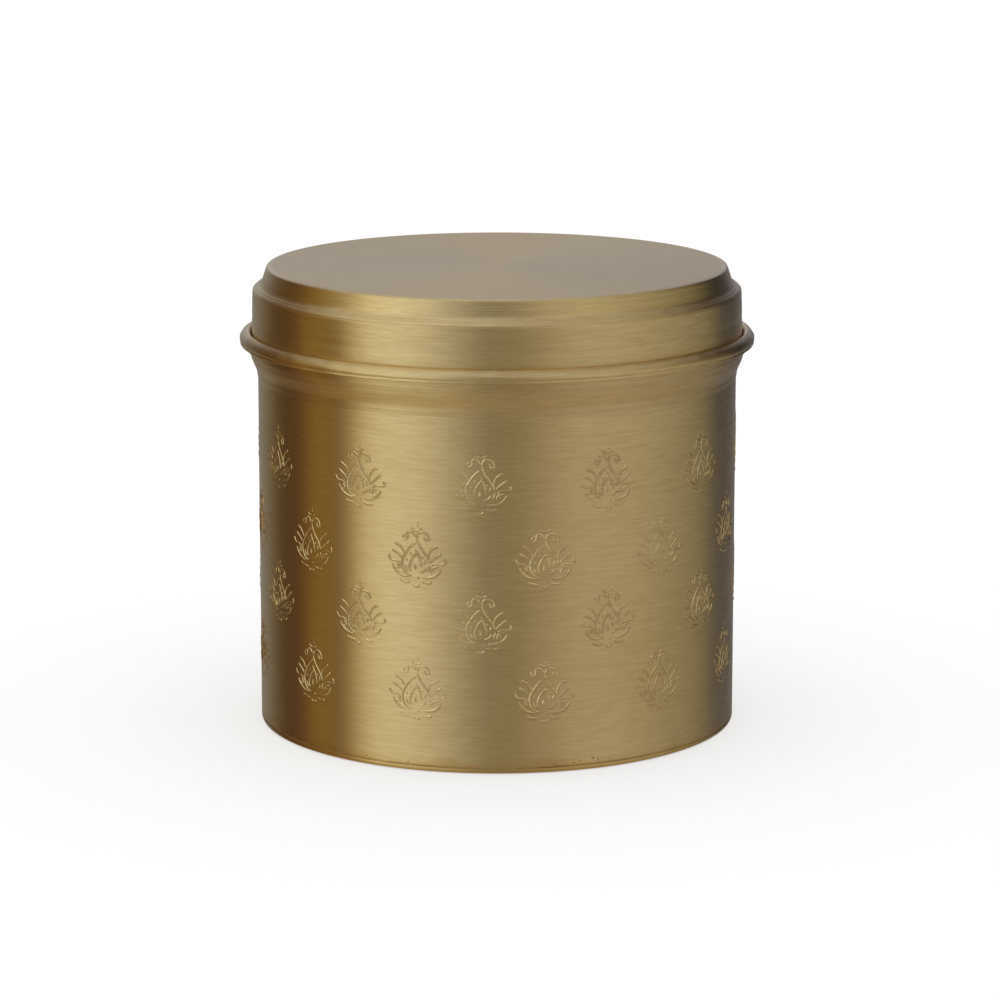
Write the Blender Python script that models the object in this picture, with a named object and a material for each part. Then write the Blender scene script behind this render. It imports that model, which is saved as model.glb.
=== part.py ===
"""Round brushed-brass masala dabba (spice box): a spun box with a flared, wired mouth, a drop-in lid,
and two tiers of seven katoris inside.

Frame: metres, +Z up, origin at the centre of the foot on the surface it stands on.
The lower katoris stand on the base, the tray stands on their rims and carries the upper
katoris, the inner cover lies on the ledge inside the flared mouth, and the lid drops inside
the bead on to the same ledge. All profiles are lists of (radius, height) in millimetres.
"""

import math

import bmesh
import bpy
from mathutils import Matrix, Vector

MM = 0.001

# ---------------------------------------------------------------- driving dimensions, mm
SEGMENTS = 48  # facets round the large turned pieces
KATORI_SEGMENTS = 20
GAP = 0.3  # clearance where one piece rests on another

BODY_R = 75.0  # outside of the straight wall
SHEET = 0.8  # wall thickness
MOUTH_R = 77.9  # outside of the flared mouth
FLARE_Z = 109.3  # where the wall starts to flare
MOUTH_Z = 119.9  # where the flare ends
WIRE_Z = 121.9  # centre of the iron wire inside the bead
WIRE_OUT = 0.95  # and its distance outside the flared mouth
WIRE_R = 0.65
BASE_TOP = 1.6

LID_R = 76.75  # outside of the lid's skirt at its edge
LID_SHEET = 0.8
LID_SKIRT_Z = 119.0
TOP_Z = 144.4

COVER_R = 76.4
COVER_Z = 117.8  # underside of the inner cover
COVER_SHEET = 0.9
COVER_HOLE_R = 2.3

KATORI_H = 57.0
KATORI_RIM_R = 23.2
KATORI_RING_R = 48.6  # the six outer katoris stand on this circle
KATORI_COUNT = 6
LOWER_Z = BASE_TOP + GAP
TRAY_Z = LOWER_Z + KATORI_H + GAP
TRAY_SHEET = 0.9
TRAY_R = 73.2
TRAY_WALL_H = 14.8
UPPER_Z = TRAY_Z + TRAY_SHEET + GAP

LOOP_X = 66.5  # distance of each lifting loop from the axis
LOOP_HALF_W = 10.0
LOOP_TOP_Z = 107.0
LOOP_WIRE_R = 1.2

SPOON_Y = -32.0
SPOON_TIP_X, SPOON_END_X = -48.0, 46.0
SPOON_BOWL_X, SPOON_BOWL_A, SPOON_BOWL_W = -34.0, 14.0, 10.5
SPOON_BOWL_DEPTH = 5.0
SPOON_SHEET = 1.1


# ---------------------------------------------------------------- helpers
def clear_scene():
    for obj in list(bpy.data.objects):
        bpy.data.objects.remove(obj, do_unlink=True)


def material(name, colour, roughness, metallic):
    mat = bpy.data.materials.new(name)
    mat.use_nodes = True
    bsdf = mat.node_tree.nodes["Principled BSDF"]
    bsdf.inputs["Base Color"].default_value = (*colour, 1.0)
    bsdf.inputs["Roughness"].default_value = roughness
    bsdf.inputs["Metallic"].default_value = metallic
    return mat


def empty(name, at=(0.0, 0.0, 0.0), parent=None):
    obj = bpy.data.objects.new(name, None)
    obj.empty_display_size = 10 * MM
    bpy.context.scene.collection.objects.link(obj)
    obj.parent = parent
    obj.location = Vector(at) * MM
    return obj


def place(name, mesh, mat, parent, at=(0.0, 0.0, 0.0)):
    obj = bpy.data.objects.new(name, mesh)
    bpy.context.scene.collection.objects.link(obj)
    obj.parent = parent
    obj.location = Vector(at) * MM
    if mat and not mesh.materials:
        mesh.materials.append(mat)
    return obj


def turned_mesh(name, profile, steps):
    """Spins a profile of (radius, height) points, in mm, round Z. One that starts and ends on the axis gives a solid of revolution; any other is closed on itself and gives a ring."""
    bm = bmesh.new()
    verts = [bm.verts.new((r * MM, 0.0, z * MM)) for r, z in profile]
    on_axis = profile[0][0] == 0.0 and profile[-1][0] == 0.0
    pairs = list(zip(verts, verts[1:]))
    if not on_axis:
        pairs.append((verts[-1], verts[0]))
    edges = [bm.edges.new(p) for p in pairs]
    bmesh.ops.spin(
        bm,
        geom=verts + edges,
        cent=(0, 0, 0),
        axis=(0, 0, 1),
        angle=2 * math.pi,
        steps=steps,
        use_merge=True,
        use_duplicate=False,
    )
    bmesh.ops.remove_doubles(bm, verts=bm.verts, dist=1e-6)
    bmesh.ops.recalc_face_normals(bm, faces=bm.faces)
    mesh = bpy.data.meshes.new(name)
    bm.to_mesh(mesh)
    bm.free()
    mesh.shade_smooth()
    mesh.set_sharp_from_angle(angle=math.radians(35))
    return mesh


def arc(cr, cz, a, b, start, end, count):
    """Points on an ellipse of half width a and half height b round (cr, cz), from start to end in degrees."""
    out = []
    for i in range(count + 1):
        t = math.radians(start + (end - start) * i / count)
        out.append((cr + a * math.cos(t), cz + b * math.sin(t)))
    return out


# ---------------------------------------------------------------- box
def wall_profile():
    """The wall's sheet: straight, flared at the mouth, then rolled outwards and down over the wire. The roll ends just short of the mouth, so its hollow is open below."""
    outer_flare = [
        (BODY_R, BASE_TOP + GAP),
        (BODY_R, FLARE_Z),
        (BODY_R + 0.4, FLARE_Z + 2.9),
        (BODY_R + 0.95, FLARE_Z + 4.3),
        (BODY_R + 1.95, FLARE_Z + 6.6),
        (MOUTH_R - 0.25, MOUTH_Z - 1.6),
        (MOUTH_R, MOUTH_Z),
    ]
    # the roll, as steps outwards from the mouth and heights from the wire: inside, then outside
    hollow = [
        (0.0, -0.1),
        (0.0, 0.85),
        (0.3, 1.45),
        (0.75, 1.5),
        (1.3, 1.1),
        (1.75, 0.5),
        (1.9, -0.05),
        (1.8, -0.6),
        (1.7, -1.35),
    ]
    skin = [
        (2.2, -1.4),
        (2.5, -1.15),
        (2.6, -0.7),
        (2.75, 0.0),
        (2.45, 0.9),
        (1.8, 1.7),
        (1.0, 2.25),
        (0.3, 2.5),
        (-0.3, 2.25),
        (-0.7, 1.4),
        (-0.8, 0.0),
    ]
    hollow = [(MOUTH_R + dr, WIRE_Z + dz) for dr, dz in hollow]
    skin = [(MOUTH_R + dr, WIRE_Z + dz) for dr, dz in skin]
    inner = [
        (MOUTH_R - SHEET, MOUTH_Z - 0.1),
        (MOUTH_R - SHEET - 0.24, MOUTH_Z - 1.35),
        (BODY_R + 1.2, FLARE_Z + 6.95),
        (BODY_R + 0.25, FLARE_Z + 4.8),
        (BODY_R - 0.3, FLARE_Z + 3.4),
        (BODY_R - SHEET, FLARE_Z + 0.2),
        (BODY_R - SHEET, BASE_TOP + GAP),
    ]
    return outer_flare + hollow + skin + inner


def base_profile():
    """A disc brazed under the wall, with a low collar that locates it inside."""
    return [
        (0.0, 0.0),
        (74.0, 0.0),
        (74.8, 0.35),
        (BODY_R, 1.0),
        (BODY_R, BASE_TOP),
        (BODY_R - SHEET - GAP, BASE_TOP),
        (BODY_R - SHEET - GAP, BASE_TOP + 2.0),
        (BODY_R - SHEET - GAP - 0.9, BASE_TOP + 2.0),
        (BODY_R - SHEET - GAP - 0.9, BASE_TOP),
        (0.0, BASE_TOP),
    ]


def lid_profile():
    t = LID_SHEET
    outside = [
        (LID_R - 0.3, LID_SKIRT_Z),
        (LID_R, LID_SKIRT_Z + 1.0),
        (LID_R, 126.0),
        (LID_R - 0.28, 136.4),
        (LID_R - 0.6, 137.15),
        (LID_R - 0.95, 137.6),
        (LID_R - 1.6, 138.05),
        (LID_R - 2.5, 138.65),
        (LID_R - 3.1, 139.35),
        (LID_R - 3.4, 140.0),
        (LID_R - 4.5, 143.5),
        (LID_R - 5.1, 144.15),
        (LID_R - 6.05, TOP_Z),
        (0.0, TOP_Z),
    ]
    inside = [
        (0.0, TOP_Z - t),
        (LID_R - 6.4, TOP_Z - t),
        (LID_R - 5.3, 143.0),
        (LID_R - 4.1, 139.4),
        (LID_R - 3.2, 138.2),
        (LID_R - 1.75, 137.2),
        (LID_R - 1.2, 136.3),
        (LID_R - t - 0.28, 135.6),
        (LID_R - t, 126.0),
        (LID_R - t, LID_SKIRT_Z),
    ]
    return inside + outside


# ---------------------------------------------------------------- contents
def katori_profile():
    """A deep cup with a rounded foot and a thickened, flared rim."""
    h, r = KATORI_H, KATORI_RIM_R
    return [
        (0.0, 0.0),
        (r - 5.0, 0.0),
        (r - 3.0, 2.3),
        (r - 1.2, h - 2.2),
        (r, h - 1.5),
        (r, h - 0.2),
        (r - 1.9, h),
        (r - 3.8, 2.7),
        (r - 5.5, 0.9),
        (0.0, 0.9),
    ]


def tray_profile():
    z, t, r = TRAY_Z, TRAY_SHEET, TRAY_R
    return [
        (0.0, z),
        (r - 1.7, z),
        (r - 0.2, z + 1.3),
        (r, z + TRAY_WALL_H - 1.2),
        (r + 0.4, z + TRAY_WALL_H - 0.5),
        (r - 0.5, z + TRAY_WALL_H),
        (r - 1.0, z + TRAY_WALL_H - 1.0),
        (r - 1.1, z + 2.2),
        (r - 2.2, z + t),
        (0.0, z + t),
    ]


def cover_profile():
    z, t = COVER_Z, COVER_SHEET
    return [
        (COVER_HOLE_R, z),
        (COVER_R - 0.3, z),
        (COVER_R, z + 0.3),
        (COVER_R, z + t - 0.2),
        (COVER_R - 0.3, z + t),
        (COVER_HOLE_R, z + t),
    ]


def knob_profile():
    """A turned knob whose shank passes through the cover and is peened under it."""
    low = COVER_Z - GAP
    high = COVER_Z + COVER_SHEET + GAP
    return [
        (0.0, low - 0.8),
        (2.4, low - 0.7),
        (3.3, low - 0.2),
        (3.3, low),
        (2.0, low),
        (2.0, high),
        (5.6, high),
        (5.4, high + 1.2),
        (3.1, high + 2.6),
        (3.0, high + 5.0),
        (5.6, high + 6.8),
        (6.6, high + 9.0),
        (5.4, high + 11.0),
        (2.6, high + 11.9),
        (0.0, high + 12.0),
    ]


def loop_points():
    """An upside-down U in the YZ plane: two legs and a bar with rounded corners."""
    foot = TRAY_Z + TRAY_SHEET + GAP
    corner, bar, w = 6.0, LOOP_TOP_Z - LOOP_WIRE_R, LOOP_HALF_W
    left = [(-w, foot), (-w, foot + 15), (-w, foot + 30)]
    bend_l = arc(-w + corner, bar - corner, corner, corner, 180, 90, 5)
    bend_r = arc(w - corner, bar - corner, corner, corner, 90, 0, 5)
    right = [(w, foot + 30), (w, foot + 15), (w, foot)]
    return left + bend_l + bend_r + right


def loop(name, x, mat, parent):
    curve = bpy.data.curves.new(name, "CURVE")
    curve.dimensions = "3D"
    curve.bevel_depth = LOOP_WIRE_R * MM
    curve.bevel_resolution = 2
    curve.use_fill_caps = True
    spline = curve.splines.new("POLY")
    points = loop_points()
    spline.points.add(len(points) - 1)
    for point, (y, z) in zip(spline.points, points):
        point.co = (0.0, y * MM, z * MM, 1.0)
    obj = bpy.data.objects.new(name, curve)
    bpy.context.scene.collection.objects.link(obj)
    obj.parent = parent
    obj.location = (x * MM, 0.0, 0.0)
    curve.materials.append(mat)
    return obj


def smooth(t):
    t = min(1.0, max(0.0, t))
    return t * t * (3 - 2 * t)


def spoon_half_width(x):
    """Half the width at x: an oval bowl run into a handle that widens to a rounded end."""
    u = (x - SPOON_BOWL_X) / SPOON_BOWL_A
    bowl = SPOON_BOWL_W * math.sqrt(max(0.0, 1 - u * u))
    t = (x - (SPOON_BOWL_X + SPOON_BOWL_A)) / (
        SPOON_END_X - (SPOON_BOWL_X + SPOON_BOWL_A)
    )
    handle = 2.3 + 2.0 * smooth(t) if x > SPOON_BOWL_X else 0.0
    past = (x - (SPOON_END_X - 4.0)) / 4.0
    if past > 0:
        handle *= math.sqrt(max(0.06, 1 - past * past))
    return max(bowl, handle, 1.6)


def spoon_mesh(name):
    """A grid bent to the spoon's plan and depth; a Solidify modifier gives it its thickness."""
    along, across = 26, 8
    bm = bmesh.new()
    bmesh.ops.create_grid(bm, x_segments=along, y_segments=across, size=1.0)
    floor = COVER_Z + COVER_SHEET + GAP + SPOON_SHEET / 2
    rim = floor + SPOON_BOWL_DEPTH
    neck = SPOON_BOWL_X + SPOON_BOWL_A
    for v in bm.verts:
        # rows are closer together round the bowl than along the handle
        u = (v.co.x + 1) / 2
        x = SPOON_TIP_X + (SPOON_END_X - SPOON_TIP_X) * (0.62 * u + 0.38 * u * u)
        side = v.co.y
        w = spoon_half_width(x)
        b = (x - SPOON_BOWL_X) / SPOON_BOWL_A
        depth = SPOON_BOWL_DEPTH * max(0.0, 1 - b * b) * (1 - side * side)
        t = max(0.0, (x - neck) / (SPOON_END_X - neck))
        arch = 2.4 * math.sin(math.pi * min(1.0, t * 1.15)) if t > 0 else 0.0
        line = rim + arch - (rim - floor) * smooth(t)
        v.co = Vector((x * MM, (SPOON_Y + side * w) * MM, (line - depth) * MM))
    bmesh.ops.recalc_face_normals(bm, faces=bm.faces)
    mesh = bpy.data.meshes.new(name)
    bm.to_mesh(mesh)
    bm.free()
    mesh.shade_smooth()
    return mesh


# ---------------------------------------------------------------- assembly
def main():
    clear_scene()
    outer = material("brushed_brass", (0.42, 0.31, 0.13), 0.34, 1.0)
    inner = material("plain_brass", (0.50, 0.37, 0.16), 0.28, 1.0)
    iron = material("iron_wire", (0.30, 0.29, 0.28), 0.45, 1.0)

    box = empty("box")
    place("body_wall", turned_mesh("body_wall", wall_profile(), SEGMENTS), outer, box)
    place("base_disc", turned_mesh("base_disc", base_profile(), SEGMENTS), outer, box)
    ring = arc(MOUTH_R + WIRE_OUT, WIRE_Z, WIRE_R, WIRE_R, 0, 315, 7)
    place("rim_wire", turned_mesh("rim_wire", ring, SEGMENTS), iron, box)

    lid = empty("lid_lift", parent=box)
    place("lid", turned_mesh("lid", lid_profile(), SEGMENTS), outer, lid)

    cover = empty("inner_cover_lift", parent=box)
    place("inner_cover", turned_mesh("inner_cover", cover_profile(), SEGMENTS), inner, cover)
    place("cover_knob", turned_mesh("cover_knob", knob_profile(), 16), inner, cover)

    spoon_lift = empty("spoon_lift", parent=cover)
    spoon = place("spoon", spoon_mesh("spoon"), inner, spoon_lift)
    thick = spoon.modifiers.new("thickness", "SOLIDIFY")
    thick.thickness = SPOON_SHEET * MM
    thick.offset = 0.0

    tray = empty("tray_lift", parent=box)
    place("tray", turned_mesh("tray", tray_profile(), SEGMENTS), inner, tray)
    loop("tray_loop_right", LOOP_X, inner, tray)
    loop("tray_loop_left", -LOOP_X, inner, tray)

    cup = turned_mesh("katori", katori_profile(), KATORI_SEGMENTS)
    for tier, z, holder in (("lower", LOWER_Z, box), ("upper", UPPER_Z, tray)):
        for i in range(KATORI_COUNT + 1):
            a = math.radians(30 + 360 * (i - 1) / KATORI_COUNT)
            ring_r = KATORI_RING_R if i else 0.0
            at = (ring_r * math.cos(a), ring_r * math.sin(a), z)
            name = f"{tier}_katori_{i}" if i else f"{tier}_katori_centre"
            seat = empty(name + "_lift", at, holder)
            place(name, cup, inner, seat)


main()
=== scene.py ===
"""Looks for the round brass spice box (masala dabba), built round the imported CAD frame.

Metres, +Z up, origin at the centre of the foot. The turned pieces are spun again here from finer
profiles of the same sizes, with the lathe's lines and the small unevenness of hand work in the
mesh. The decoration is raised line work on the wall. The metal is brushed round the axis, so its
highlights stretch along the axis and stay narrow round it.
"""

import math
import random

import bmesh
import bpy
import numpy as np
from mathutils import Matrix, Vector


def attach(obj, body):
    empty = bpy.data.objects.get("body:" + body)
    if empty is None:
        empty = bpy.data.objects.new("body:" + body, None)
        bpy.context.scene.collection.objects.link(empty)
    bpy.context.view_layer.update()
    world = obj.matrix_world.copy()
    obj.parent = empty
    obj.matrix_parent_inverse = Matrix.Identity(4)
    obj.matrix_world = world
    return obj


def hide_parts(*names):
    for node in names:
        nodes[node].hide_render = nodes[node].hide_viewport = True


MM = 0.001

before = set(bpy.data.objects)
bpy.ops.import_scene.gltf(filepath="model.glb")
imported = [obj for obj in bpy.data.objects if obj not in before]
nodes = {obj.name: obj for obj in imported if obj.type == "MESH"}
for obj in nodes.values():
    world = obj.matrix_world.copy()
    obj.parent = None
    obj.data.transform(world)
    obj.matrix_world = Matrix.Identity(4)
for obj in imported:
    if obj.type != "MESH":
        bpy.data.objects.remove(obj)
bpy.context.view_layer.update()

# ---------------------------------------------------------------- sizes, mm (those of the CAD)
BODY_R = 75.0
SHEET = 0.8
MOUTH_R = 77.9
FLARE_Z = 109.3
MOUTH_Z = 119.9
WIRE_Z = 121.9
BASE_TOP = 1.6
GAP = 0.3
LID_R = 76.75
LID_SKIRT_Z = 119.0
TOP_Z = 144.4
KATORI_H = 57.0
KATORI_R = 23.2
KATORI_RING = 48.6
LOWER_Z = 1.9
TRAY_Z = 59.2
TRAY_SHEET = 0.9
UPPER_Z = 60.4
TRAY_R = 73.2
TRAY_WALL_H = 14.8
COVER_Z = 117.8
COVER_SHEET = 0.9
COVER_R = 76.4
LOOP_X = 66.5
LOOP_HALF_W = 10.0
LOOP_TOP_Z = 107.0
LOOP_WIRE_R = 1.2
SPOON_Y = -32.0
SPOON_TIP_X, SPOON_END_X = -48.0, 46.0
SPOON_BOWL_X, SPOON_BOWL_A, SPOON_BOWL_W = -34.0, 14.0, 10.5
SPOON_BOWL_DEPTH = 5.0
SPOON_SHEET = 1.1


# ---------------------------------------------------------------- mesh helpers
def link(obj):
    bpy.context.scene.collection.objects.link(obj)
    return obj


def rounded(points, radii, steps=5):
    """A polyline with each corner turned into a small arc. radii is one number, or one per point."""
    if not hasattr(radii, "__len__"):
        radii = [radii] * len(points)
    out = []
    n = len(points)
    for i, p in enumerate(points):
        p = Vector(p)
        if i == 0 or i == n - 1 or radii[i] <= 0:
            out.append(tuple(p))
            continue
        a, b = Vector(points[i - 1]) - p, Vector(points[i + 1]) - p
        la, lb = a.length, b.length
        a.normalize()
        b.normalize()
        angle = math.acos(max(-1.0, min(1.0, a.dot(b))))
        if angle > math.pi - 0.02:
            out.append(tuple(p))
            continue
        cut = min(radii[i] / math.tan(angle / 2), la * 0.49, lb * 0.49)
        r = cut * math.tan(angle / 2)
        mid = (a + b).normalized()
        c = p + mid * (r / math.sin(angle / 2))
        s, e = p + a * cut - c, p + b * cut - c
        sweep = s.angle_signed(e)
        for k in range(steps + 1):
            t = sweep * k / steps
            co, si = math.cos(-t), math.sin(-t)
            out.append((c.x + s.x * co - s.y * si, c.y + s.x * si + s.y * co))
    return out


def smooth_curve(points, step):
    """Catmull-Rom curve through 2-D points, sampled about every step. Returns the points and the length."""
    pts = [Vector(p) for p in points]
    pts = [pts[0] * 2 - pts[1]] + pts + [pts[-1] * 2 - pts[-2]]
    dense = []
    for i in range(1, len(pts) - 2):
        a, b, c, d = pts[i - 1 : i + 3]
        for k in range(24):
            t = k / 24
            dense.append(0.5 * ((2 * b) + (c - a) * t + (2 * a - 5 * b + 4 * c - d) * t * t + (3 * b - a - 3 * c + d) * t**3))
    dense.append(pts[-2])
    run = [0.0]
    for a, b in zip(dense, dense[1:]):
        run.append(run[-1] + (b - a).length)
    count = max(4, int(round(run[-1] / step)))
    out, j = [], 0
    for k in range(count + 1):
        s = run[-1] * k / count
        while j < len(run) - 2 and run[j + 1] < s:
            j += 1
        f = (s - run[j]) / max(1e-9, run[j + 1] - run[j])
        out.append(dense[j].lerp(dense[j + 1], f))
    return out, run[-1]


def resample(points, step):
    """The same polyline with extra points, so no part is longer than step."""
    out = [tuple(points[0])]
    for a, b in zip(points, points[1:]):
        n = max(1, math.ceil(math.hypot(b[0] - a[0], b[1] - a[1]) / step))
        out += [(a[0] + (b[0] - a[0]) * k / n, a[1] + (b[1] - a[1]) * k / n) for k in range(1, n + 1)]
    return out


def tooled(points, step, pitch, depth, seed):
    """A polyline resampled and moved in and out along its normal, like the lines that a lathe tool leaves. The ends stay where they are."""
    pts = resample(points, step)
    rng = random.Random(seed)
    waves = [(rng.uniform(0.55, 2.6) * pitch, rng.uniform(0, 6.283), rng.uniform(0.4, 1.0)) for _ in range(9)]
    total = math.sqrt(sum(a * a for _, _, a in waves) / 2)
    run = [0.0]
    for a, b in zip(pts, pts[1:]):
        run.append(run[-1] + math.hypot(b[0] - a[0], b[1] - a[1]))
    out = []
    for i, (r, z) in enumerate(pts):
        a, b = pts[max(0, i - 1)], pts[min(len(pts) - 1, i + 1)]
        dx, dz = b[0] - a[0], b[1] - a[1]
        d = math.hypot(dx, dz) or 1.0
        fade = min(1.0, run[i] / (0.8 * pitch), (run[-1] - run[i]) / (0.8 * pitch))
        h = depth * fade * sum(w * math.sin(6.283 * run[i] / l + p) for l, p, w in waves) / total
        out.append((r + dz / d * h, z - dx / d * h))
    return out


def round_waves(seed, count, low, high):
    """A smooth random function of the angle round the axis, about -1 to 1, made of whole numbers of waves."""
    rng = random.Random(seed)
    terms = [(rng.randint(low, high), rng.uniform(0, 6.283), rng.uniform(0.5, 1.0)) for _ in range(count)]
    total = math.sqrt(sum(a * a for _, _, a in terms) / 2) * 1.6
    return lambda t: sum(a * np.sin(n * t + p) for n, p, a in terms) / total


def lathe(name, profile, steps, at=(0.0, 0.0, 0.0), sharp=40, uneven=None):
    """Spins a profile of (radius, height) points in mm round Z. One that starts and ends on the axis is a solid of revolution, any other is closed on itself. uneven(r, z, angle) gives small steps outwards and up."""
    keep = [p for i, p in enumerate(profile) if i == 0 or math.hypot(p[0] - profile[i - 1][0], p[1] - profile[i - 1][1]) > 1e-4]
    on_axis = keep[0][0] == 0.0 and keep[-1][0] == 0.0
    body = keep[1:-1] if on_axis else keep
    r = np.array([p[0] for p in body])[:, None]
    z = np.array([p[1] for p in body])[:, None]
    t = np.arange(steps)[None, :] * (2 * math.pi / steps)
    rr, zz = r + 0 * t, z + 0 * t
    if uneven:
        dr, dz = uneven(r, z, t)
        rr, zz = rr + dr, zz + dz
    verts = np.stack([at[0] + rr * np.cos(t), at[1] + rr * np.sin(t), at[2] + zz], -1).reshape(-1, 3)
    n = len(body)
    k = np.arange(steps)
    j = (k + 1) % steps
    faces = []
    for i in range(n - 1 if on_axis else n):
        a, b = i * steps, ((i + 1) % n) * steps
        faces += np.stack([a + k, a + j, b + j, b + k], -1).tolist()
    if on_axis:
        first, last = len(verts), len(verts) + 1
        verts = np.concatenate([verts, [[at[0], at[1], at[2] + keep[0][1]], [at[0], at[1], at[2] + keep[-1][1]]]])
        top = (n - 1) * steps
        faces += [[first, int(b), int(a)] for a, b in zip(k, j)]
        faces += [[last, int(top + a), int(top + b)] for a, b in zip(k, j)]
    mesh = bpy.data.meshes.new(name)
    mesh.from_pydata((verts * MM).tolist(), [], faces)
    bm = bmesh.new()
    bm.from_mesh(mesh)
    bmesh.ops.recalc_face_normals(bm, faces=bm.faces)
    bm.to_mesh(mesh)
    bm.free()
    mesh.shade_smooth()
    mesh.set_sharp_from_angle(angle=math.radians(sharp))
    return link(bpy.data.objects.new(name, mesh))


def closed_rings(name, rings_list, sharp=60):
    """One mesh of many closed bodies. Each body is a list of rings of points in mm, capped at both ends."""
    verts, faces = [], []
    for rings in rings_list:
        base, m = len(verts), len(rings[0])
        for ring in rings:
            verts += [(x * MM, y * MM, z * MM) for x, y, z in ring]
        for i in range(len(rings) - 1):
            a, b = base + i * m, base + (i + 1) * m
            faces += [(a + j, b + j, b + (j + 1) % m, a + (j + 1) % m) for j in range(m)]
        faces.append([base + j for j in range(m)])
        last = base + (len(rings) - 1) * m
        faces.append([last + j for j in reversed(range(m))])
    mesh = bpy.data.meshes.new(name)
    mesh.from_pydata(verts, [], faces)
    bm = bmesh.new()
    bm.from_mesh(mesh)
    bmesh.ops.recalc_face_normals(bm, faces=bm.faces)
    bm.to_mesh(mesh)
    bm.free()
    mesh.shade_smooth()
    mesh.set_sharp_from_angle(angle=math.radians(sharp))
    return link(bpy.data.objects.new(name, mesh))


# ---------------------------------------------------------------- brass
def brass(
    name,
    light=(0.815, 0.640, 0.327),
    dark=(0.745, 0.573, 0.280),
    rough=0.32,
    rough_var=0.02,
    aniso=0.9,
    lines=(0.44, 0.26, 0.12, 0.18),
    depth=0.18,
    centre=(0.0, 0.0, 0.0),
    tarnish=0.35,
    foot=False,
):
    """Brass brushed round its axis: lines of three widths that run round the piece, a slow mottling of the colour, tarnish in patches, and roughness that varies with them. lines gives the share of the fine, middle and wide lines and of the mottling. centre is the piece's own axis, in metres. foot adds the brown heat stain of a brazed seam just above the ground."""
    mat = bpy.data.materials.new(name)
    mat.use_nodes = True
    tree = mat.node_tree
    nt, ln = tree.nodes, tree.links
    bsdf = nt["Principled BSDF"]

    def node(kind, **values):
        n = nt.new(kind)
        for k, v in values.items():
            setattr(n, k, v)
        return n

    def maths(op, a, b=None, c=None):
        n = node("ShaderNodeMath", operation=op)
        for i, v in enumerate((a, b, c)):
            if v is None:
                continue
            if hasattr(v, "is_output"):
                ln.new(v, n.inputs[i])
            else:
                n.inputs[i].default_value = v
        return n.outputs[0]

    def remap(value, low, high, to_low=0.0, to_high=1.0):
        n = node("ShaderNodeMapRange")
        ln.new(value, n.inputs["Value"])
        n.inputs["From Min"].default_value = low
        n.inputs["From Max"].default_value = high
        n.inputs["To Min"].default_value = to_low
        n.inputs["To Max"].default_value = to_high
        return n.outputs[0]

    def blend(fac, a, b):
        n = node("ShaderNodeMix", data_type="RGBA")
        ln.new(fac, n.inputs["Factor"])
        for key, v in (("A", a), ("B", b)):
            if hasattr(v, "is_output"):
                ln.new(v, n.inputs[key])
            else:
                n.inputs[key].default_value = (*v, 1.0)
        return n.outputs["Result"]

    coord = node("ShaderNodeTexCoord").outputs["Object"]
    shift = node("ShaderNodeVectorMath", operation="SUBTRACT")
    ln.new(coord, shift.inputs[0])
    shift.inputs[1].default_value = centre
    sep = node("ShaderNodeSeparateXYZ")
    ln.new(shift.outputs[0], sep.inputs[0])
    x, y, z = sep.outputs
    r2 = maths("ADD", maths("MULTIPLY", x, x), maths("MULTIPLY", y, y))
    r = maths("SQRT", r2)
    safe = maths("MAXIMUM", r, 0.0005)
    cx, cy = maths("DIVIDE", x, safe), maths("DIVIDE", y, safe)

    def turned(round_scale, pitch, detail, roughness=0.55):
        """Noise drawn out round the axis: round_scale is about how many cells go round in a radian, pitch the size of a cell across the lines, in mm."""
        comb = node("ShaderNodeCombineXYZ")
        ln.new(maths("MULTIPLY", cx, round_scale), comb.inputs[0])
        ln.new(maths("MULTIPLY", cy, round_scale), comb.inputs[1])
        ln.new(maths("MULTIPLY", z, 1000.0 / pitch), comb.inputs[2])
        n = node("ShaderNodeTexNoise", noise_dimensions="4D")
        ln.new(comb.outputs[0], n.inputs["Vector"])
        ln.new(maths("MULTIPLY", r, 1000.0 / pitch), n.inputs["W"])
        n.inputs["Scale"].default_value = 1.0
        n.inputs["Detail"].default_value = detail
        n.inputs["Roughness"].default_value = roughness
        return n.outputs["Fac"]

    fine = turned(FINE[0], FINE[1], 1.0)
    middle = turned(MIDDLING[0], MIDDLING[1], 1.0)
    wide = turned(WIDE[0], WIDE[1], 2.0)
    blotch = node("ShaderNodeTexNoise", noise_dimensions="3D")
    ln.new(shift.outputs[0], blotch.inputs["Vector"])
    blotch.inputs["Scale"].default_value = 42.0
    blotch.inputs["Detail"].default_value = 4.0
    blotch.inputs["Roughness"].default_value = 0.55

    marks = maths("MULTIPLY", fine, lines[0])
    marks = maths("MULTIPLY_ADD", middle, lines[1], marks)
    marks = maths("MULTIPLY_ADD", wide, lines[2], marks)
    mixed = maths("MULTIPLY_ADD", blotch.outputs["Fac"], lines[3], marks)
    spread = 0.14 * sum(lines) / 2
    mean = 0.5 * sum(lines)
    colour = blend(remap(mixed, mean - spread, mean + spread), dark, light)

    # patches a little browner, as hands leave on bare brass
    patch = node("ShaderNodeTexNoise", noise_dimensions="3D")
    ln.new(shift.outputs[0], patch.inputs["Vector"])
    patch.inputs["Scale"].default_value = 11.0
    patch.inputs["Detail"].default_value = 3.0
    worn = tuple(c * f for c, f in zip(dark, (1.02, 0.94, 0.80)))
    colour = blend(remap(patch.outputs["Fac"], 0.52, 0.72, 0.0, tarnish), colour, worn)
    if foot:
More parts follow.
